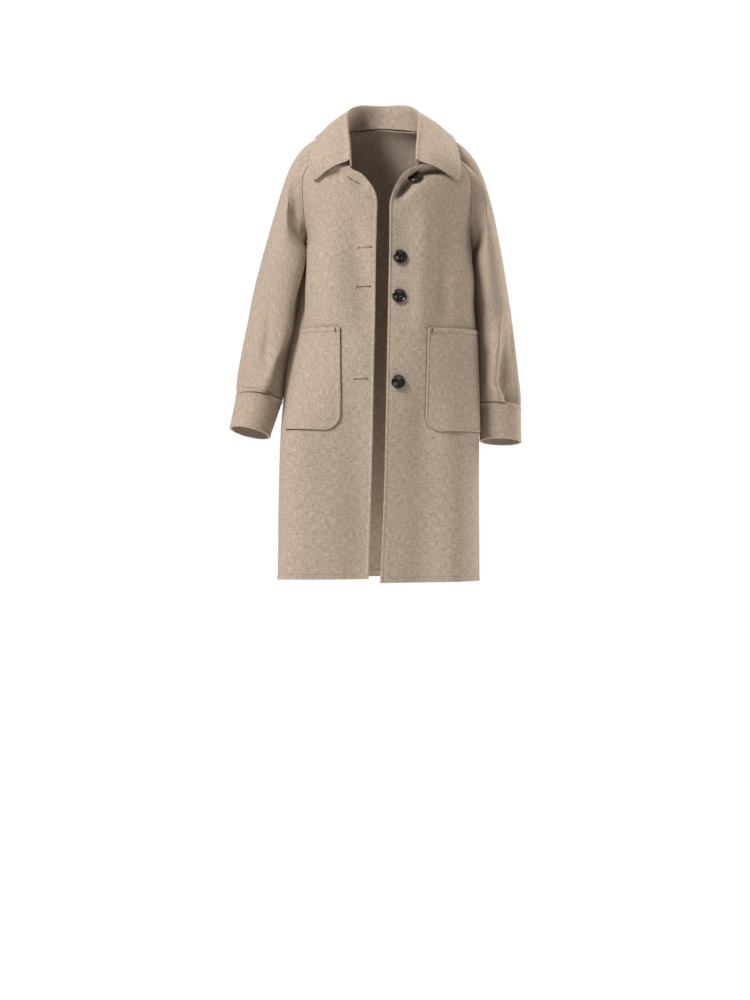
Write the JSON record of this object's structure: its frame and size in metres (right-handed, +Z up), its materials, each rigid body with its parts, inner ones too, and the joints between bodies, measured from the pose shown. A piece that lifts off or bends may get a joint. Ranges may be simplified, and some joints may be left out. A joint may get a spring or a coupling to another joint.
{
  "type": "raglan wool coat",
  "caption": "Thigh-length raglan coat in taupe double-faced cashmere, worn open, with a wide turn-down collar, patch pockets, cuff bands and black buttons.",
  "frame": {"origin": "The middle of the neck opening, level with the side neck points, where the wearer's shoulders hold the coat up", "axes": "Z is up along the hanging coat, its longest extent. The front with its opening faces -Y, the shortest extent. The wearer's left is +X."},
  "size_m": [0.5528, 0.3011, 0.9145],
  "materials": {
    "cashmere": "brushed, soft and matt",
    "button_resin": "polished"
  },
  "bodies": {
    "root": {"front_right": "cashmere", "front_left": "cashmere", "back": "cashmere", "sleeve_right_front": "cashmere", "sleeve_right_back": "cashmere", "sleeve_left_front": "cashmere", "sleeve_left_back": "cashmere", "cuff_right": "cashmere", "cuff_left": "cashmere", "collar": "cashmere", "pocket_right": "cashmere", "pocket_left": "cashmere", "button_1": "button_resin", "button_2": "button_resin", "button_3": "button_resin", "button_4": "button_resin"}
  },
  "joints": []
}
